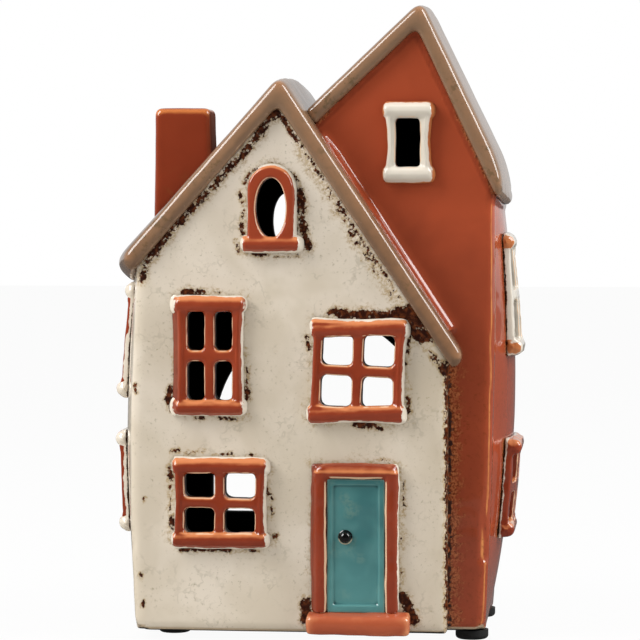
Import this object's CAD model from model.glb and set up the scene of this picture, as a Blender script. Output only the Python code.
# Glazed stoneware tealight house: two steep gables, a cream one a step in front of a rust one, with pierced
# windows, a teal door, a chimney and an arch in the back. Metres, +Z up, the door looks along -Y.

from math import cos, pi, radians, sin

import bpy
import numpy as np
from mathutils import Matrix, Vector
from mathutils.bvhtree import BVHTree


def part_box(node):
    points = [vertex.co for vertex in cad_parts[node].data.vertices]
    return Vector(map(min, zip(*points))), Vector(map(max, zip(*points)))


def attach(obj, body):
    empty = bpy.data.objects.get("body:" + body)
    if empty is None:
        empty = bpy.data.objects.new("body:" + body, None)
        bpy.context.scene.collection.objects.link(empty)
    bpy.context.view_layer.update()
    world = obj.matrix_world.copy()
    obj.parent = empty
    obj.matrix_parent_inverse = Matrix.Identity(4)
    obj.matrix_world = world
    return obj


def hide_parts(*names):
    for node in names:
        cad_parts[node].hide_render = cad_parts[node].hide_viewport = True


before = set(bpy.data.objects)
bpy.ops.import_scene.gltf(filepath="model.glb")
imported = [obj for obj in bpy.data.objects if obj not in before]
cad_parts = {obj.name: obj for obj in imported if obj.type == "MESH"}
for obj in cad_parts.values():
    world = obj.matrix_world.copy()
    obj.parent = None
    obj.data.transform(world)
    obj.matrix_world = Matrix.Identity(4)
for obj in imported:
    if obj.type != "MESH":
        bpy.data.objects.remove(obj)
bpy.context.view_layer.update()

# ----------------------------------------------------------------------------------------------------------
# Walls of the low house: front, left and back walls of slab-built stoneware, joined with slip, under a thick
# cream glaze that has crawled back from every seam and shows a dark brown wash there. Copies of the plain
# walls are fused into one skin and rounded, as glaze does it.
mm = 0.001


def only(piece):
    """Leaves this piece alone selected and active."""
    bpy.ops.object.select_all(action="DESELECT")
    piece.select_set(True)
    bpy.context.view_layer.objects.active = piece


def copy_of(name, *nodes):
    """A new piece, merged from copies of plain parts."""
    copies = []
    for node in nodes:
        copy = bpy.data.objects.new(name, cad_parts[node].data.copy())
        bpy.context.collection.objects.link(copy)
        copies.append(copy)
    return joined(name, *copies)


def joined(name, *pieces):
    """The pieces as one, with points that coincide merged."""
    only(pieces[0])
    for piece in pieces[1:]:
        piece.select_set(True)
    if len(pieces) > 1:
        bpy.ops.object.join()
    piece = bpy.context.active_object
    piece.name = piece.data.name = name
    piece.data.materials.clear()
    bpy.ops.object.mode_set(mode="EDIT")
    bpy.ops.mesh.select_all(action="SELECT")
    bpy.ops.mesh.remove_doubles(threshold=0.005 * mm)
    bpy.ops.object.mode_set(mode="OBJECT")
    return piece


def modify(piece, kind, **settings):
    """Adds one modifier and applies it."""
    only(piece)
    modifier = piece.modifiers.new(kind, kind)
    for key, value in settings.items():
        setattr(modifier, key, value)
    bpy.ops.object.modifier_apply(modifier=modifier.name)


def waviness(size, depth):
    """Soft lumps of the given size, as deep as given: what a hand and a sponge leave on clay."""
    texture = bpy.data.textures.new("hand_waviness", "CLOUDS")
    texture.noise_scale = size
    texture.noise_depth = 1
    return {"texture": texture, "texture_coords": "LOCAL", "strength": depth, "mid_level": 0.5}


def glaze_over(piece, grain, softening, wave_size, wave_depth):
    """Fuses a piece into one skin of small faces, rounds its edges and gives it the hand's slight lumps."""
    modify(piece, "REMESH", mode="VOXEL", voxel_size=grain, adaptivity=0)
    modify(piece, "SMOOTH", factor=0.5, iterations=softening)
    modify(piece, "DISPLACE", **waviness(wave_size, wave_depth))
    only(piece)
    bpy.ops.object.shade_smooth()


front_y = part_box("front_wall")[0].y
rear_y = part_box("rear_wall_low")[1].y
return_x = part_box("front_wall")[1].x
cream_walls = copy_of("cream_walls", "front_wall", "left_wall", "rear_wall_low")
glaze_over(cream_walls, grain=0.9 * mm, softening=8, wave_size=30 * mm, wave_depth=0.5 * mm)


def points(piece):
    """The piece's points and their normals, as two arrays."""
    count = len(piece.data.vertices)
    places = np.empty(count * 3, np.float32)
    normals = np.empty(count * 3, np.float32)
    piece.data.vertices.foreach_get("co", places)
    piece.data.vertex_normals.foreach_get("vector", normals)
    return places.reshape(-1, 3), normals.reshape(-1, 3)


def move_points(piece, places):
    """Moves the piece's points to new places."""
    piece.data.vertices.foreach_set("co", np.asarray(places, np.float32).ravel())
    piece.data.update()


def mark(piece, name, values):
    """Stores one number per point, for the glaze to read."""
    attribute = piece.data.attributes.new(name, "FLOAT", "POINT")
    attribute.data.foreach_set("value", np.asarray(values, np.float32))


def bends(piece, rounds):
    """How many millimetres each point stands out from its surroundings; below zero in corners."""
    places, normals = points(piece)
    edges = np.empty(len(piece.data.edges) * 2, np.int32)
    piece.data.edges.foreach_get("vertices", edges)
    first, second = edges.reshape(-1, 2).T
    share = np.bincount(edges, minlength=len(places))[:, None]
    soft = places.astype(np.float64)
    for _ in range(rounds):
        total = np.zeros_like(soft)
        for axis in range(3):
            total[:, axis] = np.bincount(first, soft[second, axis], len(soft)) + np.bincount(
                second, soft[first, axis], len(soft)
            )
        soft = total / share
    return ((places - soft) * normals).sum(1) / mm


def edges_of(piece, rounds):
    """1 on a piece's sharpest edges, 0 on flat places, below zero in corners."""
    standing = bends(piece, rounds)
    return (standing / np.percentile(standing, 99)).clip(-2, 1.5)


def surface_of(node):
    """A plain part's faces, ready to be searched for the nearest point."""
    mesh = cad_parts[node].data
    return BVHTree.FromPolygons(
        [point.co for point in mesh.vertices], [face.vertices for face in mesh.polygons]
    )


def distance_to(piece, *nodes):
    """How many millimetres each point of a piece lies from the nearest of some plain parts, or 100 if far."""
    surfaces = [surface_of(node) for node in nodes]
    search, far = 12 * mm, 100.0
    places, _ = points(piece)
    found = np.full(len(places), far)
    for row, place in enumerate(places):
        for surface in surfaces:
            distance = surface.find_nearest(Vector(place), search)[3]
            if distance is not None:
                found[row] = min(found[row], distance / mm)
    return found


def fading(distance, width):
    """1 at no distance, a third at the width, next to nothing past twice the width."""
    return np.exp(-((distance / width) ** 2))


def grow_to(piece, reach, *nodes):
    """Lets the glaze of a piece run up against its neighbours, so that no gap shows where they meet."""
    creep = reach * fading(distance_to(piece, *nodes), 1.3)
    places, normals = points(piece)
    places += normals * creep[:, None]
    move_points(piece, places)


def mark_unglazed(piece, outward):
    """Marks the dark inside, which is all that doesn't face outwards, and the raw clay under the foot."""
    places, normals = points(piece)
    foot_height = 6 * mm
    mark(piece, "inside", ((0.6 - outward) / 0.3).clip(0, 1))
    mark(piece, "raw", (normals[:, 2] < -0.5) & (places[:, 2] < foot_height))


def strokes_on(places, strokes):
    """How thickly sponge strokes cover each point: half width in mm, strength, then points (x, z) in mm."""
    flat = places[:, [0, 2]] / mm
    cover = np.zeros(len(flat))
    for half_width, strength, *corners in strokes:
        for start, end in zip(corners, corners[1:] or corners):
            start, end = np.array(start, float), np.array(end, float)
            along = end - start
            share = ((flat - start) @ along / max(along @ along, 1e-9)).clip(0, 1)
            away = np.linalg.norm(flat - start - share[:, None] * along, axis=1)
            cover = np.maximum(cover, strength * np.exp(-((away / half_width) ** 2) * 0.7))
    return cover


# Where the wash shows on the front, as strokes read off the real one's front
front_crust = (
    (2.4, 0.62, (-60.5, 130.5), (-57.5, 138.5), (-52, 146), (-47, 151.5), (-41, 157.5), (-34, 164)),
    (2.4, 0.62, (-34, 164), (-29.5, 170), (-25, 174.5), (-21.5, 177.5), (-19, 182), (-14.5, 187.5)),
    (2.4, 0.62, (-14.5, 187.5), (-10.5, 190)),
    (2.2, 0.95, (-12.5, 193), (-12, 191)),
    (1.3, 0.85, (-15.5, 189), (-12, 191.5), (-8.5, 188.5)),
    (1.3, 0.66, (-10, 189.5), (-3.5, 180.5)),
    (1.0, 0.58, (-3.5, 180), (0.8, 174.6), (12.6, 156.2), (19, 146.4), (32, 126.4), (35, 121.5)),
    (3.0, 0.43, (-3, 178), (0, 172.5), (11.5, 154.5), (18, 144.5), (31.5, 124.5)),
    (1.1, 0.6, (-20.5, 169.5), (-23, 165.5)),
    (1.3, 0.6, (-24.5, 162), (-23, 156.5), (-24, 150.5), (-23, 147)),
    (1.2, 0.6, (-26, 145), (-25, 141)),
    (1.1, 0.7, (-19.5, 140), (-14, 140)),
    (0.8, 0.6, (-12, 139), (-3, 139.5)),
    (1.2, 0.6, (-6.5, 170), (-3, 166)),
    (2.3, 0.68, (-3, 162.5), (-2, 157), (-1.5, 150.5), (0, 143)),
    (1.4, 0.72, (-44.5, 126.5), (-38, 126.5)),
    (0.9, 0.5, (-34.5, 126.5), (-30.5, 126.5)),
    (0.9, 0.6, (-49.5, 104), (-49.5, 103.5)),
    (1.0, 0.6, (-48.5, 100.5), (-48.5, 95)),
    (1.7, 0.66, (-49.5, 92), (-50.5, 88), (-49.5, 84)),
    (1.1, 0.56, (-22, 99), (-22, 93)),
    (1.4, 0.72, (-22, 90.5), (-22, 88)),
    (1.2, 0.66, (-41, 81), (-38, 81)),
    (1.1, 0.66, (-31.5, 81), (-26, 80.5)),
    (1.1, 0.78, (-63, 92.5), (-62.5, 90)),
    (1.6, 0.6, (7.5, 119), (11.5, 120)),
    (2.5, 0.78, (11.5, 118.5), (21, 118.5), (31, 117.5)),
    (3.5, 0.85, (32, 118), (36.5, 119.5), (39.5, 115.5)),
    (3.0, 0.78, (36, 114.5), (40.5, 111), (44, 110.5)),
    (1.1, 0.6, (36, 110), (36, 105)),
    (0.9, 0.6, (35, 101.5), (35, 100.5)),
    (1.4, 0.66, (36, 88.5), (36.5, 84)),
    (1.4, 0.62, (-0.5, 111), (0.5, 106)),
    (1.4, 0.78, (17, 79), (23.5, 79)),
    (1.1, 0.66, (24.5, 78.5), (26.5, 77.5)),
    (1.7, 0.52, (42.5, 106.5), (48, 100)),
    (2.0, 0.82, (48.5, 99.5), (50, 98)),
    (1.3, 0.66, (-49.5, 68.5), (-47, 69)),
    (1.1, 0.6, (-44, 68.5), (-38, 69)),
    (1.1, 0.6, (-32, 68), (-27.5, 68)),
    (0.8, 0.6, (-21.5, 68), (-20, 67.5)),
    (1.5, 0.7, (-50.5, 63), (-49.5, 59)),
    (1.0, 0.56, (-50, 56), (-50, 49.5), (-49.5, 40.5)),
    (1.3, 0.78, (-46, 33.5), (-28.5, 33.5)),
    (0.9, 0.6, (-24.5, 33.5), (-17.5, 33)),
    (1.3, 0.6, (-14.5, 55.5), (-13, 52)),
    (1.0, 0.6, (-13.5, 49.5), (-13, 46.5)),
    (1.3, 0.72, (-12, 38.5), (-11.8, 38.5)),
    (0.9, 0.72, (-59.5, 51.5), (-59.5, 50.5)),
    (0.9, 0.72, (-61, 24), (-60.5, 23.5)),
    (1.0, 0.78, (-60, 14), (-60, 12.5)),
    (0.8, 0.5, (2, 51), (1.5, 33.5), (2, 19)),
    (2.3, 0.85, (-0.5, 15), (-0.5, 8.5)),
    (0.9, 0.52, (34.5, 59), (35, 46.5)),
    (0.8, 0.56, (34, 38.5), (34, 34)),
    (0.9, 0.56, (34, 27.5), (34, 22)),
    (2.3, 0.85, (34.5, 17), (38, 9)),
    (0.9, 0.5, (27, 66.5), (31, 65)),
    (1.3, 0.62, (49.8, 98), (50.2, 5)),
)

grow_to(cream_walls, 0.9 * mm, "low_roof_left", "low_roof_right")
places, normals = points(cream_walls)
# A point is on an outer side if it is this near to it, or on a side wall if it is this far out
skin = 1.5 * mm
side_walls_from = 55 * mm
faces_front = np.where(places[:, 1] < front_y + skin, (-normals[:, 1]).clip(0), 0)
faces_back = np.where(places[:, 1] > rear_y - skin, normals[:, 1].clip(0), 0)
faces_left = np.where(places[:, 0] < -side_walls_from, (-normals[:, 0]).clip(0), 0)
faces_right = np.where(places[:, 0] > return_x - skin, normals[:, 0].clip(0), 0)
outward = np.sqrt(faces_front**2 + faces_back**2 + faces_left**2 + faces_right**2)
mark_unglazed(cream_walls, outward)
beside_side_frames = distance_to(cream_walls, "left_upper_window_frame", "left_lower_window_frame")
beside_frames = distance_to(
    cream_walls,
    "attic_window_frame",
    "mid_left_window_frame",
    "mid_right_window_frame",
    "low_left_window_frame",
    "door_frame",
)
under_roof = distance_to(cream_walls, "low_roof_left", "low_roof_right")
# Bare wash: the front's strokes, beside the left frames, along the return, under the boards, a tinge round the
# front's frames, and the back's edges
covers = [
    strokes_on(places, front_crust) * (places[:, 1] < front_y + 6 * mm),
    0.62 * fading(beside_side_frames, 2.2) * (faces_left > 0.3),
    0.6 * faces_right * (places[:, 1] < front_y + 12 * mm),
    0.56 * fading(under_roof, 1.6) * (faces_front < 0.5) * (outward > 0.5),
    0.35 * fading(beside_frames, 3.6) * (faces_front > 0.3),
    0.5 * edges_of(cream_walls, 8).clip(0, 1) * (faces_back > 0.25),
]
mark(cream_walls, "crust", np.maximum.reduce(covers))


def linear(code):
    """An sRGB hex colour as linear light, the way shaders take it."""
    channels = [int(code[at : at + 2], 16) / 255 for at in (1, 3, 5)]
    return [c / 12.92 if c <= 0.04045 else ((c + 0.055) / 1.055) ** 2.4 for c in channels] + [1.0]


def feed(node, *values, **named):
    """Feeds a node's inputs, in order or by name with _ for a space, from numbers, hex colours or nodes."""
    sockets = [socket for socket in node.inputs if socket.enabled]
    pairs = list(zip(sockets, values))
    pairs += [(node.inputs[name.replace("_", " ")], value) for name, value in named.items()]
    for socket, value in pairs:
        if isinstance(value, bpy.types.Node):
            value = next(output for output in value.outputs if output.enabled)
        if isinstance(value, bpy.types.NodeSocket):
            node.id_data.links.new(value, socket)
        else:
            socket.default_value = linear(value) if isinstance(value, str) else value


def add_node(tree, kind, *values, **named):
    """Adds one shader node. Words in small letters are its settings, the rest feeds its inputs."""
    node = tree.nodes.new("ShaderNode" + kind)
    for name in [name for name in named if name.islower()]:
        setattr(node, name, named.pop(name))
    feed(node, *values, **named)
    return node


def new_material(name):
    """A material with only its shader, its tree and its Object coordinates."""
    material = bpy.data.materials.new(name)
    material.use_nodes = True
    tree = material.node_tree
    shader = next(node for node in tree.nodes if node.type == "BSDF_PRINCIPLED")
    return material, tree, shader, add_node(tree, "TexCoord").outputs["Object"]


def mottles(tree, place, size, low, high, most=1, **grain):
    """Cloudy patches of about the given size: none where their noise is below low, most above high."""
    noise = add_node(tree, "TexNoise", place, Scale=1 / size, **grain)
    return add_node(tree, "MapRange", noise, low, high, 0, most, interpolation_type="SMOOTHSTEP")


def wavering(tree, place, size, swing, **grain):
    """Ups and downs of about the given size round zero, over the given swing."""
    noise = add_node(tree, "TexNoise", place, Scale=1 / size, **grain)
    centred = add_node(tree, "Math", noise, 0.5, operation="SUBTRACT")
    return add_node(tree, "Math", centred, swing, operation="MULTIPLY")


def torn(tree, place):
    """How far the wash wins over the glaze: above 0 it is bare. The edges are torn, finer than a millimetre."""
    crust = add_node(tree, "Attribute", attribute_name="crust").outputs["Fac"]
    ragged = add_node(
        tree, "TexNoise", place, Scale=1 / (2.2 * mm), Detail=4, Roughness=0.72, Distortion=0.6
    )
    drift = wavering(tree, place, 6 * mm, 0.4, Detail=1)
    edge = add_node(tree, "Math", ragged, drift, operation="ADD")
    covered = add_node(tree, "Math", edge, crust, operation="ADD")
    return add_node(tree, "Math", covered, 1, operation="SUBTRACT")


def with_bare_clay(tree, colour, bare, roughness):
    """The colour with raw clay at the foot and a dark inside, that inside, and how rough it all is."""
    raw = add_node(tree, "Attribute", attribute_name="raw").outputs["Fac"]
    colour = add_node(tree, "Mix", raw, colour, "#b9a58a", data_type="RGBA")
    inside = add_node(tree, "Attribute", attribute_name="inside").outputs["Fac"]
    colour = add_node(tree, "Mix", inside, colour, "#060403", data_type="RGBA")
    dull_wash = add_node(tree, "Math", bare, 0.3, operation="MULTIPLY")
    dull_inside = add_node(tree, "Math", inside, 0.5, operation="MULTIPLY")
    dull = add_node(tree, "Math", dull_wash, dull_inside, operation="ADD")
    return colour, inside, add_node(tree, "Math", dull, roughness, operation="ADD")


# Cream stoneware glaze, dipped thick: glossy and slightly cloudy, with iron freckles and fine veins. Where it
# has crawled, the brown wash under it is bare, rough and almost black, with a rusty rim and beads of cream.
cream_glaze, tree, shader, place = new_material("cream_stoneware_glaze")
clouds = mottles(tree, place, 24 * mm, 0.35, 0.68, Detail=3, Roughness=0.55, Distortion=0.3)
colour = add_node(tree, "Mix", clouds, "#d1c4b0", "#dfd3c2", data_type="RGBA")
across, _, height = add_node(tree, "SeparateXYZ", place).outputs
high_up = add_node(
    tree, "MapRange", height, 120 * mm, 185 * mm, 0, 0.5, interpolation_type="SMOOTHSTEP"
)
colour = add_node(tree, "Mix", high_up, colour, "#f0e4d4", data_type="RGBA")
to_right = add_node(
    tree, "MapRange", across, 28 * mm, 50 * mm, 0, 0.4, interpolation_type="SMOOTHSTEP"
)
colour = add_node(tree, "Mix", to_right, colour, "#b3a38a", data_type="RGBA")

stray = add_node(tree, "TexNoise", place, Scale=1 / (4 * mm)).outputs["Color"]
wandering = add_node(tree, "Mix", 0.012, place, stray, data_type="VECTOR")
veins = add_node(tree, "TexVoronoi", wandering, Scale=1 / (9 * mm), feature="DISTANCE_TO_EDGE")
vein_lines = add_node(
    tree,
    "Math",
    add_node(tree, "MapRange", veins, 0.09, 0, interpolation_type="SMOOTHSTEP"),
    mottles(tree, place, 9 * mm, 0.5, 0.7, 0.32),
    operation="MULTIPLY",
)
colour = add_node(tree, "Mix", vein_lines, colour, "#9a8f78", data_type="RGBA")
freckles = add_node(
    tree,
    "Math",
    mottles(tree, place, 1.4 * mm, 0.56, 0.74, 0.6, Detail=3, Roughness=0.65),
    mottles(tree, place, 12 * mm, 0.38, 0.62),
    operation="MULTIPLY",
)
colour = add_node(tree, "Mix", freckles, colour, "#8f8263", data_type="RGBA")

cover = torn(tree, place)
halo = add_node(
    tree,
    "Math",
    add_node(tree, "MapRange", cover, -0.32, -0.04, interpolation_type="SMOOTHSTEP"),
    mottles(tree, place, 1.1 * mm, 0.32, 0.62, 0.7, Detail=3, Roughness=0.7),
    operation="MULTIPLY",
)
colour = add_node(tree, "Mix", halo, colour, "#a5854c", data_type="RGBA")
wide_open = add_node(tree, "MapRange", cover, 0, 0.03, interpolation_type="SMOOTHSTEP")
bead_rim = 0.42
bead_heart = bead_rim * 0.6
from_bead = add_node(tree, "TexVoronoi", place, Scale=1 / (1.4 * mm), feature="F1")
beads_left = add_node(
    tree,
    "Math",
    add_node(tree, "MapRange", from_bead, bead_rim, bead_heart, interpolation_type="SMOOTHSTEP"),
    add_node(tree, "MapRange", cover, 0.22, 0.05, interpolation_type="SMOOTHSTEP"),
    operation="MULTIPLY",
)
between_beads = add_node(tree, "Math", 1, beads_left, operation="SUBTRACT")
bare = add_node(tree, "Math", wide_open, between_beads, operation="MULTIPLY")
rusting = mottles(tree, place, 1.5 * mm, 0.42, 0.7, Detail=3)
wash = add_node(tree, "Mix", rusting, "#310f02", "#6b3413", data_type="RGBA")
colour = add_node(tree, "Mix", bare, colour, wash, data_type="RGBA")

colour, inside, roughness = with_bare_clay(tree, colour, bare, 0.09)
bare_share = add_node(tree, "Math", bare, 0.75, operation="MULTIPLY")
unglazed = add_node(tree, "Math", inside, bare_share, operation="MAXIMUM")
swells = add_node(tree, "TexNoise", place, Scale=1 / (5 * mm))
relief = add_node(
    tree,
    "Math",
    add_node(tree, "Math", swells, 0.4, operation="MULTIPLY"),
    add_node(tree, "Math", bare, -0.8, operation="MULTIPLY"),
    operation="ADD",
)
feed(
    shader,
    Base_Color=colour,
    Roughness=roughness,
    Specular_IOR_Level=add_node(tree, "MapRange", unglazed, 0, 1, 0.5, 0.08),
    Normal=add_node(tree, "Bump", Height=relief, Distance=0.25 * mm, Strength=1),
    IOR=1.52,
)
cream_walls.data.materials.append(cream_glaze)
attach(cream_walls, "house")
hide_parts("front_wall", "left_wall", "rear_wall_low")

# ----------------------------------------------------------------------------------------------------------
# Walls of the tall house: the same stoneware under a red iron glaze, which breaks to orange where it is thin,
# on every edge, and pools dark in corners. A fillet of glaze lies along the low roof's board, where it ran.
tall_front_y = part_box("tall_front_wall")[0].y

# The fillet: hollow quarter rounds every 1.5 mm down the board, their backs sunk into wall and board
board = surface_of("low_roof_right")
board_top = Vector((-10.7, 0, 193.4)) * mm
down_board = Vector((0.553, 0, -0.833))
off_board = Vector((0.833, 0, 0.553))
fillet_radius = 4.2 * mm
first_section, pitch, sunk = 16, 1.5, 1.5
ray_start, ray_length = 40 * mm, 60 * mm
sections = []
for step in range(66):
    down = down_board * (first_section + pitch * step) * mm
    start = board_top + down + Vector((0, tall_front_y - 0.2 * mm, 0))
    hit = board.ray_cast(start + off_board * ray_start, -off_board, ray_length)[0]
    if hit is None or hit.x > return_x + 1 * mm:
        continue
    corner = Vector((hit.x, tall_front_y, hit.z))
    radius = fillet_radius * min(1, 0.3 + step / 8)
    hollow = corner + off_board * radius + Vector((0, -radius, 0))
    arc = [
        hollow + (-off_board * cos(radians(turn)) + Vector((0, sin(radians(turn)), 0))) * radius
        for turn in range(0, 91, 10)
    ]
    into_wall, into_board = Vector((0, sunk * mm, 0)), off_board * sunk * mm
    back = [arc[-1] + into_wall, corner - into_board + into_wall, arc[0] - into_board]
    sections.append(arc + back)
width = len(sections[0])
corners = [tuple(point) for section in sections for point in section]
faces = [
    (row + at, row + (at + 1) % width, row + width + (at + 1) % width, row + width + at)
    for row in range(0, len(corners) - width, width)
    for at in range(width)
]
faces += [tuple(range(width)), tuple(len(corners) - width + at for at in reversed(range(width)))]
fillet_mesh = bpy.data.meshes.new("glaze_fillet")
fillet_mesh.from_pydata(corners, [], faces)
glaze_fillet = bpy.data.objects.new("glaze_fillet", fillet_mesh)
bpy.context.collection.objects.link(glaze_fillet)
only(glaze_fillet)
bpy.ops.object.mode_set(mode="EDIT")
bpy.ops.mesh.select_all(action="SELECT")
bpy.ops.mesh.normals_make_consistent(inside=False)
bpy.ops.object.mode_set(mode="OBJECT")
rust_walls = copy_of("rust_walls", "tall_front_wall", "right_wall", "rear_wall_tall")
rust_walls = joined("rust_walls", rust_walls, glaze_fillet)
glaze_over(rust_walls, 0.8 * mm, 7, 28 * mm, 0.5 * mm)
grow_to(rust_walls, 0.8 * mm, "tall_roof_left", "tall_roof_right")

places, normals = points(rust_walls)
faces_front = np.where(places[:, 1] < tall_front_y + skin, (-normals[:, 1]).clip(0), 0)
faces_back = np.where(places[:, 1] > rear_y - skin, normals[:, 1].clip(0), 0)
faces_right = np.where(places[:, 0] > side_walls_from, normals[:, 0].clip(0), 0)
on_fillet = (places[:, 1] < tall_front_y + 0.3 * mm) & (places[:, 2] > 90 * mm)
outward = np.where(on_fillet, 1.0, np.sqrt(faces_front**2 + faces_back**2 + faces_right**2))
mark_unglazed(rust_walls, outward)

# An orange line down the front's right corner, where the glaze is thinnest, and dark pools under the boards
corner_line = fading(normals[:, 0] + normals[:, 1], 0.22) * (normals[:, 0] > 0.4)
corner_line *= fading((places[:, 1] - tall_front_y) / mm - 0.8, 0.8)
under_board = distance_to(rust_walls, "tall_roof_left", "tall_roof_right")
thin = np.maximum(edges_of(rust_walls, 6) * (outward > 0.5), 1.2 * corner_line)
mark(rust_walls, "thin", thin - 1.6 * fading(under_board, 2.2))

# Bare wash beside the side frames, along the seam with the cream house, at the foot and under the boards
beside_side_frames = distance_to(rust_walls, "right_upper_window_frame", "right_lower_window_frame")
from_seam = places[:, 0] / mm - return_x / mm
seam_cover = np.where(from_seam < 1.0, 0.62, 0.47) * fading(from_seam, 5.6) * (faces_front > 0.3)
seam_top, clean_above = 102 * mm, 192 * mm
covers = [
    0.56 * fading(beside_side_frames, 1.4) * (faces_right > 0.3),
    seam_cover * (places[:, 2] < seam_top),
    0.42 * fading(places[:, 2] / mm - 4, 2.2) * (outward > 0.3),
    0.5 * fading(under_board, 1.2) * (places[:, 2] < clean_above) * (faces_front > 0.3),
]
mark(rust_walls, "crust", np.maximum.reduce(covers))


def iron_glaze(name, dark, bright, edge, low, high):
    """Iron glaze: mottled, dark low down and bright high up, breaking to the edge colour where it is thin."""
    material, tree, shader, place = new_material(name)
    clouds = add_node(
        tree, "TexNoise", place, Scale=1 / (20 * mm), Detail=3, Roughness=0.55, Distortion=0.4
    )
    clouds = add_node(tree, "Math", clouds, 0.8, operation="MULTIPLY")
    height = add_node(tree, "SeparateXYZ", place).outputs["Z"]
    rise = add_node(tree, "MapRange", height, low, high, 0, 0.5, interpolation_type="SMOOTHSTEP")
    mixture = add_node(tree, "Math", clouds, rise, operation="ADD")
    mixture = add_node(tree, "MapRange", mixture, 0.3, 0.85, interpolation_type="SMOOTHSTEP")
    colour = add_node(tree, "Mix", mixture, dark, bright, data_type="RGBA")
    thin = add_node(tree, "Attribute", attribute_name="thin").outputs["Fac"]
    ruffled = add_node(tree, "Math", thin, wavering(tree, place, 3 * mm, 0.35), operation="ADD")
    pooled = add_node(
        tree, "MapRange", ruffled, -0.3, -1.2, 0, 0.7, interpolation_type="SMOOTHSTEP"
    )
    colour = add_node(tree, "Mix", pooled, colour, "#5c2111", data_type="RGBA")
    thinned = add_node(
        tree, "MapRange", ruffled, 0.3, 1.1, 0, 0.85, interpolation_type="SMOOTHSTEP"
    )
    return material, tree, shader, place, add_node(tree, "Mix", thinned, colour, edge, data_type="RGBA")


def glassy(tree, shader, place, size, depth, roughness):
    """The skin of a fired glaze: hard and glossy over soft unevenness of the given size and depth."""
    swells = add_node(tree, "TexNoise", place, Scale=1 / size, Detail=1.5)
    skin = add_node(tree, "Bump", Height=swells, Distance=depth, Strength=1)
    feed(shader, Normal=skin, Roughness=roughness, IOR=1.62)


# Iron-red glaze, dipped: glossy and mottled, gritty and brown along the seam and the foot, with brown specks
# low on the front
rust_glaze, tree, shader, place, colour = iron_glaze(
    "rust_stoneware_glaze", "#95432a", "#ac4d2f", "#d58a4e", 105 * mm, 210 * mm
)
height = add_node(tree, "SeparateXYZ", place).outputs["Z"]
specks = add_node(
    tree,
    "Math",
    mottles(tree, place, 1.3 * mm, 0.52, 0.72, 0.5, Detail=3, Roughness=0.7),
    add_node(tree, "MapRange", height, 125 * mm, 80 * mm, interpolation_type="SMOOTHSTEP"),
    operation="MULTIPLY",
)
colour = add_node(tree, "Mix", specks, colour, "#6a3414", data_type="RGBA")
cover = torn(tree, place)
gritty = add_node(tree, "MapRange", cover, -0.32, -0.02, 0, 0.85, interpolation_type="SMOOTHSTEP")
grains = mottles(tree, place, 0.9 * mm, 0.42, 0.6, Detail=3, Roughness=0.7)
grit = add_node(tree, "Mix", grains, "#bd7045", "#6c3217", data_type="RGBA")
colour = add_node(tree, "Mix", gritty, colour, grit, data_type="RGBA")
bare = add_node(tree, "MapRange", cover, 0.05, 0.11, interpolation_type="SMOOTHSTEP")
colour = add_node(tree, "Mix", bare, colour, "#3a1605", data_type="RGBA")
colour, inside, roughness = with_bare_clay(tree, colour, bare, 0.06)
glassy(tree, shader, place, 8 * mm, 0.12 * mm, roughness)
feed(shader, Base_Color=colour, Specular_IOR_Level=add_node(tree, "MapRange", inside, 0, 1, 0.5, 0.08))
rust_walls.data.materials.append(rust_glaze)
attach(rust_walls, "house")
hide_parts("tall_front_wall", "right_wall", "rear_wall_tall")

# ----------------------------------------------------------------------------------------------------------
# Roof boards: thick clay slabs bent over each gable and luted on, with rounded, thinly covered upper edges. The
# two roofs run into each other in the valley.
# Taupe glaze, brushed on: satin brown with olive mottling, tan and bubbled along the low gable's lower edge.
roof_glaze, tree, shader, place, colour = iron_glaze(
    "taupe_stoneware_glaze", "#6b513d", "#876a52", "#a07453", 100 * mm, 230 * mm
)
mottle = add_node(
    tree,
    "Math",
    mottles(tree, place, 2.2 * mm, 0.5, 0.66, 0.6, Detail=3, Roughness=0.6),
    mottles(tree, place, 20 * mm, 0.48, 0.62, Detail=1),
    operation="MULTIPLY",
)
colour = add_node(tree, "Mix", mottle, colour, "#5d4d33", data_type="RGBA")
lower_edge = torn(tree, place)
bubbled = add_node(tree, "MapRange", lower_edge, -0.25, 0, 0, 0.7, interpolation_type="SMOOTHSTEP")
colour = add_node(tree, "Mix", bubbled, colour, "#b08f74", data_type="RGBA")
bare = add_node(tree, "MapRange", lower_edge, 0.06, 0.1, interpolation_type="SMOOTHSTEP")
feed(shader, Base_Color=add_node(tree, "Mix", bare, colour, "#3b2414", data_type="RGBA"))
glassy(tree, shader, place, 7 * mm, 0.1 * mm, 0.11)
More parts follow.
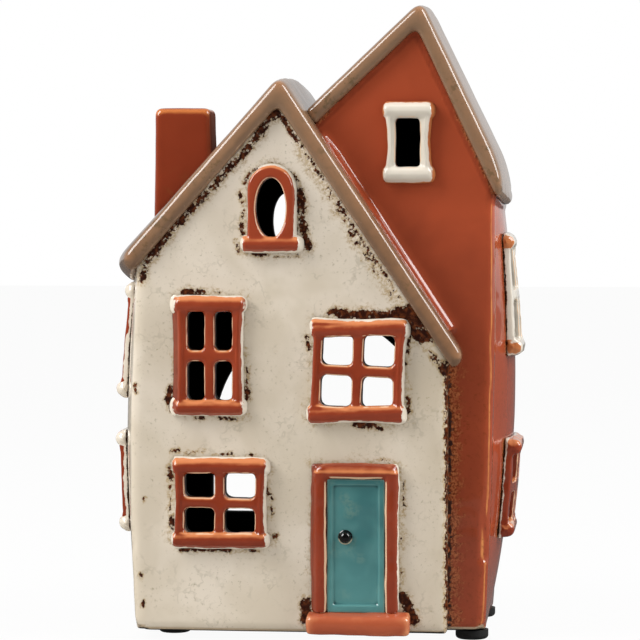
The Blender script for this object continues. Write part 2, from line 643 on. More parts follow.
for name, nodes, wall, edge_cover in (
    ("low_roof", ("low_roof_left", "low_roof_right"), "front_wall", 0.56),
    ("tall_roof", ("tall_roof_left", "tall_roof_right"), "tall_front_wall", 0.3),
):
    roof = copy_of(name, *nodes)
    glaze_over(roof, 0.7 * mm, 80, 24 * mm, 0.5 * mm)
    # Softening draws the front edge back, so the first 12 mm are brought forward again
    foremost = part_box(nodes[0])[0].y
    places, _ = points(roof)
    share = (1 - (places[:, 1] - foremost) / (12 * mm)).clip(0, 1)
    places[:, 1] += (foremost - places[:, 1].min()) * share
    move_points(roof, places)
    if name == "tall_roof":
        grow_to(roof, 1.0 * mm, "low_roof_right", "low_roof_left")
        # The right board thins over 16 mm of its slope, from 50 mm down from the ridge
        places, _ = points(roof)
        ridge = np.array((38.3, 221.4)) * mm
        down_slope, off_slope = np.array((0.428, -0.904)), np.array((0.904, 0.428))
        from_ridge = places[:, [0, 2]] - ridge
        to_end = ((from_ridge @ down_slope / mm - 50) / 16).clip(0, 1) * (places[:, 0] > 50 * mm)
        thinner = 0.4 * to_end**2 * (from_ridge @ off_slope).clip(0)
        places[:, [0, 2]] -= thinner[:, None] * off_slope
        move_points(roof, places)
    _, normals = points(roof)
    mark(roof, "thin", 0.85 * edges_of(roof, 12) * (1 + normals[:, 2] / 0.4).clip(0, 1))
    mark(roof, "crust", edge_cover * fading(distance_to(roof, wall), 3.2) * (normals[:, 1] < -0.4))
    roof.data.materials.append(roof_glaze)
    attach(roof, "house")
    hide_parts(*nodes)

# ----------------------------------------------------------------------------------------------------------
# Chimney: a slab-built stack through the low roof's left slope, with a softly rounded closed top.
# Dark iron-red glaze, dipped: very glossy, orange round its rim, greener where it drips to the roof, and dull
# and smoked on its right side.
chimney_glaze, tree, shader, place, colour = iron_glaze(
    "chimney_stoneware_glaze", "#752f1b", "#893820", "#cb7840", 130 * mm, 200 * mm
)
height = add_node(tree, "SeparateXYZ", place).outputs["Z"]
drips = add_node(
    tree,
    "Math",
    add_node(
        tree, "MapRange", height, 176 * mm, 150 * mm, 0, 0.55, interpolation_type="SMOOTHSTEP"
    ),
    mottles(tree, place, 6 * mm, 0.5, 0.72, Detail=3, Roughness=0.6, Distortion=1),
    operation="MULTIPLY",
)
colour = add_node(tree, "Mix", drips, colour, "#7c5a2c", data_type="RGBA")
smoked = add_node(tree, "Attribute", attribute_name="smoked").outputs["Fac"]
colour = add_node(tree, "Mix", smoked, colour, "#5e2f1d", data_type="RGBA")
glassy(tree, shader, place, 9 * mm, 0.16 * mm, add_node(tree, "MapRange", smoked, 0, 1, 0.06, 0.7))
feed(shader, Base_Color=colour, Specular_IOR_Level=add_node(tree, "MapRange", smoked, 0, 1, 0.5, 0.1))
chimney_stack = copy_of("chimney_stack", "chimney")
glaze_over(chimney_stack, 0.6 * mm, 30, 16 * mm, 0.5 * mm)
_, normals = points(chimney_stack)
rising = normals[:, 2].clip(0, 1)
mark(chimney_stack, "thin", edges_of(chimney_stack, 14) * 0.45 + 3.2 * rising * (1 - rising))
mark(chimney_stack, "smoked", ((normals[:, 0] - 0.75) / 0.2).clip(0, 1))
chimney_stack.data.materials.append(chimney_glaze)
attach(chimney_stack, "house")
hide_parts("chimney")

# ----------------------------------------------------------------------------------------------------------
# Window frames that look to the front: each a hand-rolled coil above and below, with uprights and strips
# pressed on between them. Their faces are painted rust, and the wall's cream climbs their sides and ends.


def coil_of_clay(centre, length, radius, along):
    """A hand-rolled coil with rounded ends, lying along X or Y."""
    bpy.ops.object.select_all(action="DESELECT")
    turn = (0, pi / 2, 0) if along == "X" else (pi / 2, 0, 0)
    bpy.ops.mesh.primitive_cylinder_add(
        vertices=24, radius=radius, depth=length, location=centre, rotation=turn
    )
    bpy.ops.object.transform_apply(location=True, rotation=True, scale=True)
    coil = bpy.context.active_object
    axis = 0 if along == "X" else 1
    for face in coil.data.polygons:
        face.select = abs(face.normal[axis]) > 0.9
    bpy.ops.object.mode_set(mode="EDIT")
    bpy.ops.mesh.select_mode(type="FACE")
    bpy.ops.mesh.bevel(offset=radius * 0.6, segments=4)
    bpy.ops.object.mode_set(mode="OBJECT")
    return coil


def climb(piece, outer, stand, plane, left_share=0.5, right_share=1.0):
    """Swells the outer sides near the wall, where the wall's glaze has climbed them and lies thick."""
    places, normals = points(piece)
    sideways = normals[:, plane[0]]
    climbs_to, swelling = 3.2, 1.2
    push = np.where(outer, (1 - stand / climbs_to).clip(0, 1), 0) * swelling * mm
    push *= np.where(sideways < -0.5, left_share, np.where(sideways > 0.5, right_share, 1.0))
    places[:, plane] += normals[:, plane] * push[:, None]
    move_points(piece, places)


def mark_thinness(piece, facing, outer, stand, pooled, lit=0.0):
    """Where glaze lies thin on a frame: on its edges, most where they look up, and in a rim round each pane."""
    edges = edges_of(piece, 6)
    _, normals = points(piece)
    rim = fading(facing - 0.5, 0.3) * (edges / 0.25).clip(0, 1) * ~outer * (stand > 1.2)
    mark(piece, "rim", rim)
    mark(piece, "thin", np.where(pooled, -0.9, edges * 0.35 + normals[:, 2].clip(0, 1) * 1.55 + lit))
    mark(piece, "crust", 0.66 * fading(stand, 1.0) * outer)


def frame_glaze(name, face_dark, face_bright, thin_edge, side_dark, side_bright):
    """Glaze of a frame: one colour on its face, the other on its sides, with a pale line round every pane."""
    material, tree, shader, place, face = iron_glaze(
        name, face_dark, face_bright, thin_edge, 30 * mm, 180 * mm
    )
    rim = add_node(tree, "Attribute", attribute_name="rim").outputs["Fac"]
    pale = add_node(tree, "MapRange", rim, 0.34, 0.78, 0, 0.9, interpolation_type="SMOOTHSTEP")
    face = add_node(tree, "Mix", pale, face, "#eac4a0", data_type="RGBA")
    shades = add_node(tree, "TexNoise", place, Scale=1 / (5 * mm))
    sides = add_node(tree, "Mix", shades, side_dark, side_bright, data_type="RGBA")
    ragged = add_node(
        tree,
        "Math",
        wavering(tree, place, 2.6 * mm, 1.6),
        wavering(tree, place, 9 * mm, 2.4, Detail=1),
        operation="ADD",
    )
    paint = add_node(tree, "Attribute", attribute_name="paint").outputs["Fac"]
    painted = add_node(tree, "Math", paint, ragged, operation="ADD")
    painted = add_node(tree, "MapRange", painted, -0.15, 0.15, interpolation_type="SMOOTHSTEP")
    colour = add_node(tree, "Mix", painted, sides, face, data_type="RGBA")
    bare = add_node(
        tree, "MapRange", torn(tree, place), 0, 0.05, interpolation_type="SMOOTHSTEP"
    )
    feed(shader, Base_Color=add_node(tree, "Mix", bare, colour, "#3f2211", data_type="RGBA"))
    glassy(tree, shader, place, 4 * mm, 0.1 * mm, 0.05)
    return material


def in_plane(places, middle, slope):
    """How far each point lies across and up from a tilted window's middle, in mm, along its own sides."""
    across, up = (places[:, 0] - middle.x) / mm, (places[:, 2] - middle.z) / mm
    return across * cos(slope) + up * sin(slope), up * cos(slope) - across * sin(slope)


# Iron-red glaze on the faces, brushed on: glossy, with a pale line round each pane, over sides of cream glaze.
# The other way round it is cream all over, with orange-brown where the red ran over the ends.
rust_frame_glaze = frame_glaze(
    "rust_frame_glaze_with_cream_sides", "#82331d", "#984128", "#da8856", "#d3c6b2", "#e8dfd1"
)
cream_frame_glaze = frame_glaze(
    "cream_frame_glaze_with_orange_ends", "#cec3b1", "#dad1c2", "#e6dccd", "#b5602f", "#c98a5c"
)
# In mm: height of a frame's top and bottom bar, radius of its coils, width of its uprights, and a paint value
# that is past every rim, where all is in the face's colour
bar, coil_radius, flank, all_face = 4.6, 2.5, 2.85, 5.0
waist_dent = 0.7 * mm
wave_size = 7 * mm
front_windows = {"mid_left": 0.0, "mid_right": -2.3, "low_left": -0.6, "tall_gable": 0.0}
for window, tilt in front_windows.items():
    node = window + "_window_frame"
    low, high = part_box(node)
    wall_y = high.y
    middle = (low + high) / 2
    slope = radians(tilt)
    lean = abs(sin(slope))
    half_width = (high.x - low.x) / 2 / mm
    half_height = (high.z - low.z) / 2 / mm
    half_width, half_height = half_width - half_height * lean, half_height - half_width * lean
    piece = copy_of("glazed_" + node, node)
    places, _ = points(piece)
    across, up = in_plane(places, middle, slope)
    waist = (abs(up) < half_height - bar) & (places[:, 1] < wall_y - 2 * mm)
    places[:, 1] += np.where(waist, waist_dent, 0)
    move_points(piece, places)
    coils = []
    for side in (-1, 1):
        reach = side * (half_height - bar / 2) * mm
        centre = (middle.x - reach * sin(slope), wall_y - 2.0 * mm, middle.z + reach * cos(slope))
        coil = coil_of_clay(centre, 2 * half_width * mm, coil_radius * mm, "X")
        only(coil)
        bpy.ops.transform.rotate(value=-slope, orient_axis="Y", center_override=centre)
        bpy.ops.object.transform_apply(location=True, rotation=True, scale=True)
        coils.append(coil)
    piece = joined(piece.name, piece, *coils)
    glaze_over(piece, 0.4 * mm, 6, wave_size, 0.55 * mm)
    # Between the coils the uprights are drawn in, more on the tall gable's frame
    places, normals = points(piece)
    across, up = in_plane(places, middle, slope)
    pinch = 0.7 if window == "tall_gable" else 0.35
    bow = (1 - (up / (half_height - bar)) ** 2).clip(0, 1)
    sideways = np.where(abs(across) > half_width - flank, bow, 0)
    places[:, 0] -= np.sign(across) * sideways * pinch * mm
    move_points(piece, places)
    stand = (wall_y - places[:, 1]) / mm
    outer = (abs(across) > half_width - flank) | (abs(up) > half_height - bar / 2)
    # The cream never reached the left side of the middle left frame, where dark glaze has pooled
    dark_left = outer & (across < 0) & (abs(up) < half_height - bar) & (window == "mid_left")
    climb(piece, outer, stand, [0, 2], 2.2 if window == "mid_left" else 0.5)
    side_paint = np.where(outer & ~dark_left, stand - 2.6, all_face)
    end_paint = np.where(abs(up) > half_height - bar - 0.5, half_width - 0.5 - abs(across), all_face)
    mark(piece, "paint", np.minimum(side_paint, end_paint))
    mark_thinness(piece, -normals[:, 1], outer, stand, dark_left & (stand < 3.0))
    piece.data.materials.append(cream_frame_glaze if window == "tall_gable" else rust_frame_glaze)
    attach(piece, "house")
    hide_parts(node)

# ----------------------------------------------------------------------------------------------------------
# Attic window: a coil bent into an arch round an egg-shaped hole, standing on a rolled sill. Cream from the
# wall climbs its outside and shows in a band below the sill.
low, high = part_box("attic_window_frame")
attic_surround = copy_of("attic_surround", "attic_window_frame")
sill = coil_of_clay(
    ((low.x + high.x) / 2, high.y - 2.1 * mm, low.z + 2.4 * mm), high.x - low.x, coil_radius * mm, "X"
)
attic_surround = joined("attic_surround", attic_surround, sill)
glaze_over(attic_surround, 0.4 * mm, 8, wave_size, 0.35 * mm)
places, normals = points(attic_surround)
middle_x = (low.x + high.x) / 2
arch_z = high.z - 8.3 * mm
arch_crest = 6.6 * mm
across = abs(places[:, 0] - middle_x)
from_axis = np.where(places[:, 2] < arch_z, across, np.hypot(across, places[:, 2] - arch_z))
outer = (from_axis > arch_crest) | (places[:, 2] < low.z + 2.4 * mm)
stand = (high.y - places[:, 1]) / mm
climb(attic_surround, outer, stand, [0, 2])
to_end = (high.x - middle_x) / mm - 0.9 - across / mm
sill_ends = np.where(places[:, 2] < low.z + 5 * mm, to_end, all_face)
mark(attic_surround, "paint", np.minimum(np.where(outer, stand - 2.7, all_face), sill_ends))
mark_thinness(attic_surround, -normals[:, 1], outer, stand, False)
attic_surround.data.materials.append(rust_frame_glaze)
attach(attic_surround, "house")
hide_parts("attic_window_frame")

# ----------------------------------------------------------------------------------------------------------
# Window frames of the side walls: a coil above and below with uprights and strips between, laid on walls that
# swell. The left ones are rust with cream ends, the right upper one is cream and the right lower one all rust.
side_windows = {
    "left_upper": (-1, rust_frame_glaze, "left_wall"),
    "left_lower": (-1, rust_frame_glaze, "left_wall"),
    "right_upper": (1, cream_frame_glaze, "right_wall"),
    "right_lower": (1, rust_frame_glaze, "right_wall"),
}
for window, (side, glaze, wall) in side_windows.items():
    node = window + "_window_frame"
    low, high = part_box(node)
    middle = (low + high) / 2
    half_width = (high.y - low.y) / 2 / mm
    half_height = (high.z - low.z) / 2 / mm
    piece = copy_of("glazed_" + node, node)
    places, _ = points(piece)
    coils, axes = [], []
    for end in (-1, 1):
        level = middle.z + end * (half_height - bar / 2) * mm
        near = abs(places[:, 2] - level) < bar / 2 * mm
        crest = (places[near, 0] * side).max()
        centre = (side * (crest - coil_radius * mm), middle.y, level)
        coils.append(coil_of_clay(centre, 2 * half_width * mm, coil_radius * mm, "Y"))
        axes.append((centre[0], level))
    stand = distance_to(piece, wall)
    waist = (abs(places[:, 2] - middle.z) / mm < half_height - bar) & (stand > 2)
    places[:, 0] -= np.where(waist, waist_dent * side, 0)
    move_points(piece, places)
    piece = joined(piece.name, piece, *coils)
    glaze_over(piece, 0.42 * mm, 5, wave_size, 0.4 * mm)
    # The coils' ends are rounded off over their last 2.4 mm
    places, _ = points(piece)
    across = (places[:, 1] - middle.y) / mm
    for axis_x, level in axes:
        on_coil = abs(places[:, 2] - level) < (bar / 2 + 0.3) * mm
        tip = ((abs(across) - half_width + 2.4) / 2.4).clip(0, 0.93) * on_coil
        slimmer = np.sqrt(1 - tip**2)
        places[:, 0] = axis_x + (places[:, 0] - axis_x) * slimmer
        places[:, 2] = level + (places[:, 2] - level) * slimmer
    move_points(piece, places)
    places, normals = points(piece)
    across, up = (places[:, 1] - middle.y) / mm, (places[:, 2] - middle.z) / mm
    stand = distance_to(piece, wall)
    outer = (abs(across) > half_width - flank) | (abs(up) > half_height - bar / 2)
    climb(piece, outer, stand, [1, 2])
    flank_paint = {"right_upper": all_face, "right_lower": stand - 1.2}.get(window, stand - 1.7)
    side_paint = np.where(outer, flank_paint, all_face)
    on_coil = (abs(up) > half_height - bar - 0.5) & (window != "right_lower")
    end_paint = np.where(on_coil, half_width - (1.2 if side > 0 else 2.2) - abs(across), all_face)
    mark(piece, "paint", np.minimum(side_paint, end_paint))
    mark_thinness(piece, side * normals[:, 0], outer, stand, False)
    piece.data.materials.append(glaze)
    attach(piece, "house")
    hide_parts(node)

# ----------------------------------------------------------------------------------------------------------
# Door surround: three coils laid round the panel, pinched where they meet, rust on the face and the left side
# and cream on the right one. The doorstep below it is one thick coil, flattened on top.
low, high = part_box("door_frame")
door_surround = copy_of("door_surround", "door_frame")
glaze_over(door_surround, 0.4 * mm, 40, 9 * mm, 0.9 * mm)
places, _ = points(door_surround)
middle_x = (low.x + high.x) / 2
coil_line = 2.45
beside = (abs(places[:, 0] - middle_x) - (high.x - low.x) / 2) / mm + coil_line
above = (places[:, 2] - high.z) / mm + coil_line
nearest = np.minimum(abs(beside), abs(above))
off_line = np.where((beside > 0) & (above > 0), np.hypot(beside, above), nearest)
round_off = 1 - np.sqrt(1 - (off_line / 2.6).clip(0, 1) ** 2)
places[:, 1] = high.y - (high.y - places[:, 1]) * (1 - 0.42 * round_off)
move_points(door_surround, places)
modify(door_surround, "SMOOTH", factor=0.5, iterations=8)
places, normals = points(door_surround)
stand = (high.y - places[:, 1]) / mm
across = abs(places[:, 0] - middle_x)
outer = (across > (high.x - low.x) / 2 - 2.3 * mm) | (places[:, 2] > high.z - 2.4 * mm)
climb(door_surround, outer, stand, [0, 2], 1.8, 0.7)
modify(door_surround, "SMOOTH", factor=0.5, iterations=6)
from_left = (places[:, 0] - low.x) / mm
all_rust_left = 5 * (5 - from_left / 6).clip(0, 1)
mark(door_surround, "paint", np.where(outer, stand - 2.4 + all_rust_left, all_face))
# The glaze is thin in a bright line along the top coil's crest and thick on its upper edge
down = (high.z - places[:, 2]) / mm
lit = 0.78 * fading(down - 2.2, 0.7) - 1.0 * fading(down, 1.3)
pooled_left = outer & (from_left < 3) & (stand < 2.6)
mark_thinness(door_surround, -normals[:, 1], outer, stand, pooled_left, lit)
door_surround.data.materials.append(rust_frame_glaze)
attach(door_surround, "house")
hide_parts("door_frame")

# Iron-red glaze, brushed on: glossy, and orange where it is thin along the step's edges
step_glaze, tree, shader, place, colour = iron_glaze(
    "doorstep_stoneware_glaze", "#96402a", "#ab5537", "#d88e62", 0.0, 12 * mm
)
feed(shader, Base_Color=colour)
glassy(tree, shader, place, 5 * mm, 0.14 * mm, 0.05)
door_sill = copy_of("door_sill", "doorstep")
glaze_over(door_sill, 0.5 * mm, 60, 10 * mm, 0.8 * mm)
# Softening shrinks it, so it is stretched back to its size
low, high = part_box("doorstep")
places, _ = points(door_sill)
lowest, highest = places.min(0), places.max(0)
places = np.array(low) + (places - lowest) / (highest - lowest) * (np.array(high) - np.array(low))
move_points(door_sill, places)
mark(door_sill, "thin", edges_of(door_sill, 10))
door_sill.data.materials.append(step_glaze)
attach(door_sill, "house")
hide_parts("doorstep")

# ----------------------------------------------------------------------------------------------------------
# Door panel: a flat clay slab with a pressed inner rim. The knob is a bead of glaze, set on the panel.
# Teal glaze, brushed on: glossy, paler where it is thin and low down, deep green in the corners, with worn
# patches.
teal_glaze, tree, shader, place = new_material("teal_stoneware_glaze")
clouds = mottles(tree, place, 14 * mm, 0.36, 0.66, Distortion=0.3)
colour = add_node(tree, "Mix", clouds, "#3f6f70", "#4f8281", data_type="RGBA")
worn = add_node(
    tree,
    "Math",
    mottles(tree, place, 9 * mm, 0.56, 0.72, 0.3, Detail=1),
    mottles(tree, place, 1.4 * mm, 0.3, 0.6),
    operation="MULTIPLY",
)
colour = add_node(tree, "Mix", worn, colour, "#7f9582", data_type="RGBA")
height = add_node(tree, "SeparateXYZ", place).outputs["Z"]
low_down = add_node(
    tree, "MapRange", height, 40 * mm, 12 * mm, 0, 0.5, interpolation_type="SMOOTHSTEP"
)
colour = add_node(tree, "Mix", low_down, colour, "#63a09e", data_type="RGBA")
thin = add_node(tree, "Attribute", attribute_name="thin").outputs["Fac"]
pooled = add_node(tree, "MapRange", thin, -0.25, -0.9, interpolation_type="SMOOTHSTEP")
colour = add_node(tree, "Mix", pooled, colour, "#2a5254", data_type="RGBA")
paled = add_node(tree, "MapRange", thin, 0.3, 0.9, 0, 0.6, interpolation_type="SMOOTHSTEP")
feed(shader, Base_Color=add_node(tree, "Mix", paled, colour, "#84aba2", data_type="RGBA"))
glassy(tree, shader, place, 6 * mm, 0.1 * mm, 0.07)
door_panel = copy_of("door_panel", "door_leaf")
glaze_over(door_panel, 0.35 * mm, 12, 10 * mm, 0.4 * mm)
mark(door_panel, "thin", edges_of(door_panel, 8))
door_panel.data.materials.append(teal_glaze)
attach(door_panel, "house")
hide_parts("door_leaf")


def turned(name, profile, centre, axis, steps):
    """A body of revolution, from radii and places along its axis, which is upright or runs front to back."""
    lengthwise = 2 if axis == "Z" else 1
    outline = []
    for radius, along in profile:
        point = [centre[0] + radius * mm, centre[1], centre[2]]
        point[lengthwise] += along * mm
        outline.append(point)
    mesh = bpy.data.meshes.new(name)
    mesh.from_pydata(outline, [(at, at + 1) for at in range(len(outline) - 1)], [])
    piece = bpy.data.objects.new(name, mesh)
    bpy.context.collection.objects.link(piece)
    only(piece)
    bpy.ops.object.mode_set(mode="EDIT")
    bpy.ops.mesh.select_all(action="SELECT")
    bpy.ops.mesh.spin(
        steps=steps, angle=2 * pi, center=centre, axis=(0, 0, 1) if axis == "Z" else (0, 1, 0)
    )
    bpy.ops.mesh.select_all(action="SELECT")
    bpy.ops.mesh.remove_doubles(threshold=0.004 * mm)
    bpy.ops.mesh.normals_make_consistent(inside=False)
    bpy.ops.object.mode_set(mode="OBJECT")
    bpy.ops.object.shade_smooth_by_angle(angle=radians(50))
    return piece


low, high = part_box("door_knob")
knob_centre = ((low.x + high.x) / 2, high.y, (low.z + high.z) / 2)
knob_radius = (high.x - low.x) / 2 / mm
knob_reach = (high.y - low.y) / mm
bead_share = 0.86
bead = [
    (
        knob_radius * bead_share * sin(radians(turn)),
        -knob_reach + knob_reach * bead_share * (1 - cos(radians(turn))),
    )
    for turn in range(0, 91, 9)
]
ring = [(knob_radius * 0.9, -0.7), (knob_radius, -0.5), (knob_radius, -0.15)]
ring += [(knob_radius * 0.92, 0.0), (0, 0)]
door_knob_bead = turned("door_knob_bead", bead + ring, knob_centre, "Y", 40)
places, _ = points(door_knob_bead)
below = (knob_centre[2] - places[:, 2]) / mm / knob_radius
at_foot = places[:, 1] > knob_centre[1] - 0.75 * mm
mark(door_knob_bead, "crescent", at_foot * ((below - 0.1) / 0.3).clip(0, 1))
# Black glaze, trailed on as a drop: it mirrors the lamps, and a pale crescent of thin glaze shows under it
black_glaze, tree, shader, place = new_material("black_bead_glaze")
crescent = add_node(tree, "Attribute", attribute_name="crescent").outputs["Fac"]
feed(shader, Base_Color=add_node(tree, "Mix", crescent, "#0a0908", "#b9b39c", data_type="RGBA"))
glassy(tree, shader, place, 2 * mm, 0.02 * mm, 0.04)
door_knob_bead.data.materials.append(black_glaze)
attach(door_knob_bead, "house")
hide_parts("door_knob")

# ----------------------------------------------------------------------------------------------------------
# Floor slab and feet: a clay slab with four bought rubber bumpers stuck under it. The wick's foot is pressed
# from tinned steel. All three keep the plain parts' shapes.
# Floor: dark glaze inside, raw buff clay below, matt and gritty
floor_glaze, tree, shader, place = new_material("floor_glaze_and_raw_clay")
facing = add_node(tree, "NewGeometry").outputs["Normal"]
upward = add_node(tree, "SeparateXYZ", facing).outputs["Z"]
facing_down = add_node(tree, "MapRange", upward, -0.4, -0.6, interpolation_type="SMOOTHSTEP")
clay_grain = add_node(tree, "TexNoise", place, Scale=1 / (3 * mm), Detail=3, Roughness=0.6)
clay = add_node(tree, "Mix", clay_grain, "#ad987c", "#c6b294", data_type="RGBA")
glaze_clouds = add_node(tree, "TexNoise", place, Scale=1 / (12 * mm), Detail=3)
glazed = add_node(tree, "Mix", glaze_clouds, "#120b08", "#2a170f", data_type="RGBA")
grit = add_node(tree, "TexNoise", place, Scale=1 / (0.8 * mm), Detail=3)
feed(
    shader,
    Base_Color=add_node(tree, "Mix", facing_down, glazed, clay, data_type="RGBA"),
    Roughness=add_node(tree, "MapRange", facing_down, 0, 1, 0.25, 0.85),
    Normal=add_node(tree, "Bump", Height=grit, Distance=0.08 * mm, Strength=facing_down),
)

# Rubber: black, matt, faintly grained
rubber, tree, shader, place = new_material("black_bumper_rubber")
grain = add_node(tree, "TexNoise", place, Scale=1 / (0.5 * mm))
feed(
    shader,
    Base_Color=add_node(tree, "Mix", grain, "#141414", "#1f1e1d", data_type="RGBA"),
    Roughness=0.62,
    Normal=add_node(tree, "Bump", Height=grain, Distance=0.03 * mm, Strength=1),
)

# Tinned steel: grey metal with a soft sheen that varies from spot to spot
steel, tree, shader, place = new_material("tinned_steel_of_wick_foot")
spangle = add_node(tree, "TexNoise", place, Scale=1 / (1.5 * mm))
sheen = add_node(tree, "TexNoise", place, Scale=1 / (0.7 * mm))
feed(
    shader,
    Metallic=1,
    Base_Color=add_node(tree, "Mix", spangle, "#a9a8a4", "#c6c5c0", data_type="RGBA"),
    Roughness=add_node(tree, "MapRange", sheen, 0, 1, 0.25, 0.45),
)
for node, material in (("base_slab", floor_glaze), ("foot_pads", rubber), ("wick_sustainer", steel)):
    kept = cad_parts[node]
    if not kept.material_slots:
        kept.data.materials.append(material)
    for slot in kept.material_slots:
        slot.material = material

# ----------------------------------------------------------------------------------------------------------
# Tealight: a drawn aluminium cup with a rolled lip and pressed flutes, paraffin cast in it that creeps up the
# cup and the wick, and a braided cotton wick. It stands loose on the floor.
low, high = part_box("tealight_cup")
cup_centre = ((low.x + high.x) / 2, (low.y + high.y) / 2, low.z)
cup_height = (high.z - low.z) / mm
lip_radius = (high.x - low.x) / 2 / mm
wall_radius = lip_radius - 0.5
lip_curl = 0.45
lip = [
    (
        lip_radius - lip_curl + lip_curl * cos(radians(turn)),
        cup_height - lip_curl + lip_curl * sin(radians(turn)),
    )
    for turn in range(-60, 200, 20)
]
outside = [(0, 0.35), (wall_radius - 4, 0.35), (wall_radius - 3.2, 0.0), (wall_radius - 1.2, 0.0)]
outside += [(wall_radius - 0.35, 0.35), (wall_radius, 1.2)]
outside += [(wall_radius, 1.2 + 0.9 * step) for step in range(1, int((cup_height - 2.5) / 0.9))]
inner = [(wall_radius - 0.3, cup_height - 1.2), (wall_radius - 0.3, 1.4)]
inner += [(wall_radius - 0.8, 0.5), (0, 0.5)]
tealight_tin = turned("tealight_tin", outside + lip + inner, cup_centre, "Z", 240)
flutes, flute_depth = 60, 0.12 * mm
places, _ = points(tealight_tin)
offset = places[:, :2] - np.array(cup_centre[:2])
reach = np.hypot(*offset.T)
turn = np.arctan2(offset[:, 1], offset[:, 0])
rise = (places[:, 2] - cup_centre[2]) / mm
fluted = (abs(reach / mm - wall_radius) < 0.1) & (rise > 1.5) & (rise < cup_height - 1.6)
pressed_in = np.where(fluted, flute_depth / reach.clip(1e-6) * (1 + np.cos(flutes * turn)), 0)
places[:, :2] -= offset * pressed_in[:, None]
move_points(tealight_tin, places)
# Drawn aluminium: thin bright metal, smeared by the drawing and by fingers
aluminium, tree, shader, place = new_material("drawn_aluminium")
smears = add_node(tree, "TexNoise", place, Scale=1 / (3 * mm), Detail=3, Roughness=0.6)
feed(
    shader,
    Metallic=1,
    Base_Color=add_node(tree, "Mix", smears, "#b4b5b6", "#d2d3d3", data_type="RGBA"),
    Roughness=add_node(tree, "MapRange", smears, 0, 1, 0.18, 0.36),
)
tealight_tin.data.materials.append(aluminium)
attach(tealight_tin, "tealight")
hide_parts("tealight_cup")

low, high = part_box("tealight_wax")
wax_centre = ((low.x + high.x) / 2, (low.y + high.y) / 2, low.z)
wax_radius = (high.x - low.x) / 2 / mm
wax_height = (high.z - low.z) / mm
surface = [(0, wax_height - 0.15), (0.9, wax_height - 0.15), (1.5, wax_height - 0.6)]
surface += [(3, wax_height - 0.85), (7, wax_height - 0.95), (12, wax_height - 0.9)]
surface += [(15.5, wax_height - 0.8), (17, wax_height - 0.55)]
surface += [(wax_radius - 0.1, wax_height - 0.05), (wax_radius, wax_height - 0.2)]
surface += [(wax_radius, 0.8), (wax_radius - 0.8, 0.0), (0, 0.0)]
paraffin_disc = turned("paraffin_disc", surface, wax_centre, "Z", 96)
# Paraffin: white wax that light sinks into, a little frosted
paraffin, tree, shader, place = new_material("white_paraffin")
frosting = add_node(tree, "TexNoise", place, Scale=1 / (4 * mm), Detail=3, Roughness=0.6)
feed(
    shader,
    Base_Color=add_node(tree, "Mix", frosting, "#e9e6dd", "#f4f2ec", data_type="RGBA"),
    Roughness=0.42,
    Subsurface_Weight=0.35,
    Subsurface_Radius=(1.0, 0.8, 0.6),
    Subsurface_Scale=2 * mm,
    Normal=add_node(tree, "Bump", Height=frosting, Distance=0.1 * mm, Strength=1),
)
paraffin_disc.data.materials.append(paraffin)
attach(paraffin_disc, "tealight")
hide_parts("tealight_wax")

low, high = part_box("tealight_wick")
wick_radius = (high.x - low.x) / 2
wick_length = high.z - low.z
bpy.ops.object.select_all(action="DESELECT")
bpy.ops.mesh.primitive_cylinder_add(
    vertices=20, radius=wick_radius, depth=wick_length, location=(low + high) / 2, end_fill_type="NGON"
)
braided_wick = bpy.context.active_object
braided_wick.name = "braided_wick"
bpy.ops.object.transform_apply(location=True)
modify(braided_wick, "REMESH", mode="VOXEL", voxel_size=0.16 * mm, adaptivity=0)
modify(braided_wick, "SMOOTH", factor=0.5, iterations=3)
places, _ = points(braided_wick)
offset = places[:, :2] - np.array(((low.x + high.x) / 2, (low.y + high.y) / 2))
turn = np.arctan2(offset[:, 1], offset[:, 0])
along = (places[:, 2] - low.z) / mm
twist = 4.4 * along
plait = np.maximum(np.cos(3 * turn + twist), np.cos(3 * turn - twist))
places[:, :2] -= offset * (0.1 * (1 - plait))[:, None]
move_points(braided_wick, places)
only(braided_wick)
bpy.ops.object.shade_smooth()
# Waxed cotton: cream-white, matt, with its fibres showing
cotton, tree, shader, place = new_material("waxed_cotton_braid")
yarn = add_node(tree, "TexNoise", place, Scale=1 / (0.6 * mm), Detail=3)
fibres = add_node(tree, "TexNoise", place, Scale=1 / (0.25 * mm))
feed(
    shader,
    Base_Color=add_node(tree, "Mix", yarn, "#d8d2c2", "#f0ece1", data_type="RGBA"),
    Roughness=0.7,
    Normal=add_node(tree, "Bump", Height=fibres, Distance=0.04 * mm),
)
braided_wick.data.materials.append(cotton)
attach(braided_wick, "tealight")
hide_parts("tealight_wick")

# ----------------------------------------------------------------------------------------------------------
# The pale room that the house stands in: a white table and surroundings, and two soft boxes, high up to the
# left and to the right.


def looked_at(tree):
    """1 for a reflected ray, and 1 for a ray that the camera sends straight or through something clear."""
    path = add_node(tree, "LightPath").outputs
    seen = add_node(tree, "Math", path["Is Camera Ray"], path["Is Transmission Ray"], operation="ADD")
    return path["Is Glossy Ray"], add_node(tree, "Math", seen, 1, operation="MINIMUM")


bpy.ops.object.select_all(action="DESELECT")
bpy.ops.mesh.primitive_plane_add(size=6.0, location=(0, 2.55, 0))
table_top = bpy.context.active_object
table_top.name = "table_top"
bpy.ops.object.transform_apply(location=True)

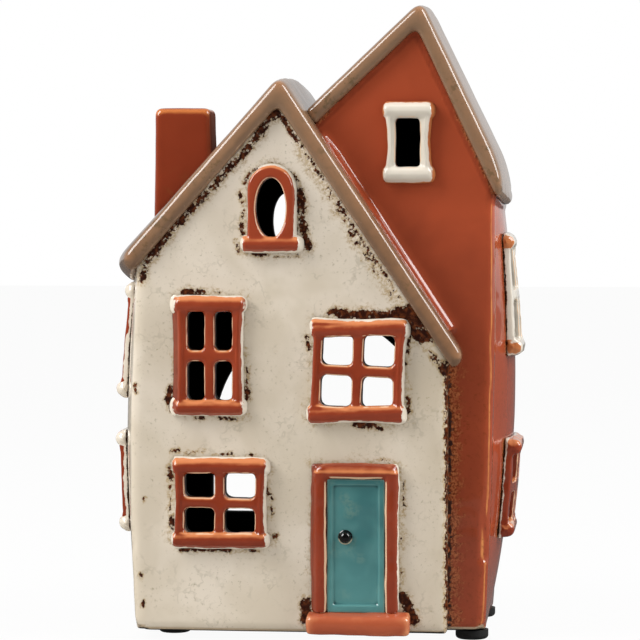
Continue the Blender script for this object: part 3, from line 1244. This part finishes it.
# White paint: matt, shown white where it is looked at, and dim where the glaze mirrors it
table_paint, tree, shader, _ = new_material("white_table_paint")
feed(shader, Base_Color="#cfcfcd", Roughness=0.9, Specular_IOR_Level=0.1)
mirrored, seen = looked_at(tree)
dimmed = add_node(tree, "MapRange", mirrored, 0, 1, 1, 0.16)
glow = add_node(tree, "Emission", Color="#ffffff", Strength=dimmed)
mostly_seen = add_node(tree, "Math", seen, 0.95, operation="MULTIPLY")
glowing = add_node(tree, "Math", mostly_seen, mirrored, operation="MAXIMUM")
output = next(node for node in tree.nodes if node.type == "OUTPUT_MATERIAL")
feed(output, Surface=add_node(tree, "MixShader", glowing, shader, glow))
table_top.data.materials.append(table_paint)

# The surroundings: white where the camera looks straight at them, an even light on the object, and in its
# reflections dim towards the front, where the camera and a dark studio are
world = bpy.data.worlds.new("white_room")
bpy.context.scene.world = world
world.use_nodes = True
tree = world.node_tree
mirrored, seen = looked_at(tree)
direction = add_node(tree, "TexCoord").outputs["Generated"]
toward_back = add_node(tree, "SeparateXYZ", direction).outputs["Y"]
reflected = add_node(
    tree, "MapRange", toward_back, -0.75, 0.9, 0.03, 0.6, interpolation_type="SMOOTHSTEP"
)
even_light = 0.45
strength = add_node(tree, "Mix", mirrored, even_light, reflected, data_type="FLOAT")
strength = add_node(tree, "Mix", seen, strength, 1, data_type="FLOAT")
background = next(node for node in tree.nodes if node.type == "BACKGROUND")
feed(background, Color="#ffffff", Strength=strength)

lamp_distance, lamp_rise, lamp_height = 1.1, 0.75, 0.8
for azimuth, power, width in ((-62, 12.0, 0.5), (82, 11.0, 0.46)):
    away = Vector((sin(radians(azimuth)), -cos(radians(azimuth)), lamp_rise)).normalized() * lamp_distance
    light = bpy.data.lights.new("soft_box", "AREA")
    light.shape = "RECTANGLE"
    light.size, light.size_y = width, lamp_height
    light.energy = power
    lamp = bpy.data.objects.new("soft_box", light)
    lamp.location = away + Vector((0, 0, 0.1))
    lamp.rotation_euler = (-away).to_track_quat("-Z", "Y").to_euler()
    bpy.context.collection.objects.link(lamp)

# The camera stands a little to the right and above; its focal length is in pixels of the 640-wide picture
focal_pixels, picture_width = 2806, 640
camera_data = bpy.data.cameras.new("camera")
camera_data.sensor_width = 36.0
camera_data.lens = focal_pixels / picture_width * camera_data.sensor_width
camera = bpy.data.objects.new("camera", camera_data)
target = Vector((0, 2.0 * mm, 115 * mm))
yaw, elevation, camera_distance = radians(6), radians(2), 1.05
away = Vector((sin(yaw) * cos(elevation), -cos(yaw) * cos(elevation), sin(elevation)))
camera.location = target + away * camera_distance
camera.rotation_euler = (-away).to_track_quat("-Z", "Y").to_euler()
bpy.context.collection.objects.link(camera)
bpy.context.scene.camera = camera
bpy.context.scene.view_settings.view_transform = "Standard"
